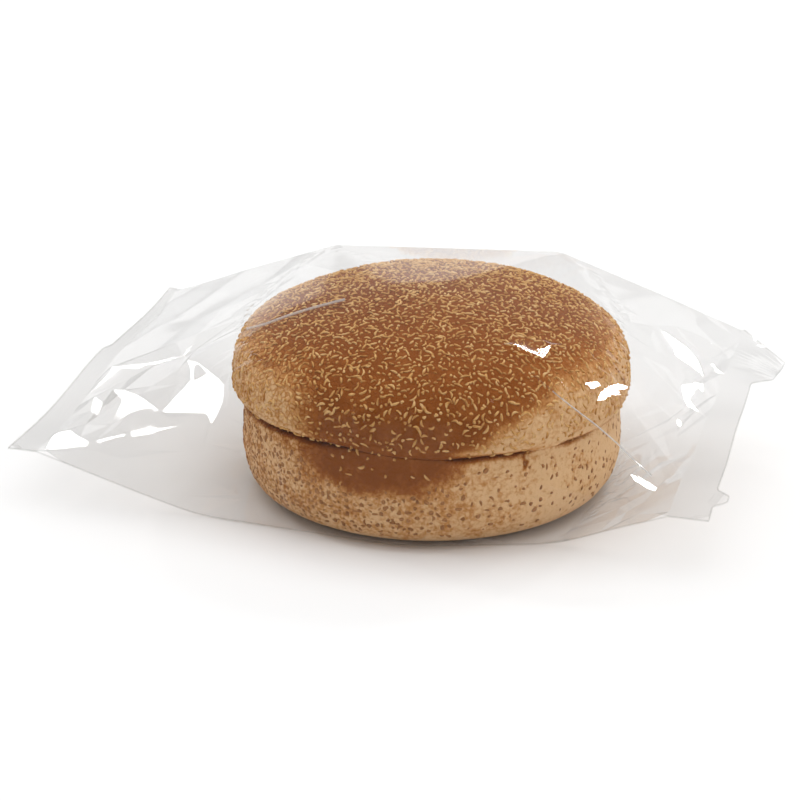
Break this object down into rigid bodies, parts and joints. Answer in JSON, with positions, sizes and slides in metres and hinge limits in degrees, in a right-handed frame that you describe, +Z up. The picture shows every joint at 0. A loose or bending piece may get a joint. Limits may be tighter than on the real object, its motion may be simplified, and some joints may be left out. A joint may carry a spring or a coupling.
{
  "type": "bagged hamburger bun",
  "caption": "Round cut hamburger bun with a speckled crust, sealed in a clear crumpled film bag with flat heat seals at its ends.",
  "frame": {"origin": "on the surface the pack rests on, under the middle of the bun", "axes": "+X along the bag from one end seal to the other, +Y to the back, +Z up"},
  "size_m": [0.1789, 0.1084, 0.0519],
  "materials": {
    "film": "clear glossy packing film",
    "crown_crust": "baked crust, browned and lightly glossy",
    "heel_crust": "baked crust, pale and dull",
    "crumb": "open bread crumb",
    "flakes": "dry grain flakes"
  },
  "bodies": {
    "root": {"bag": "film"}
  },
  "joints": []
}
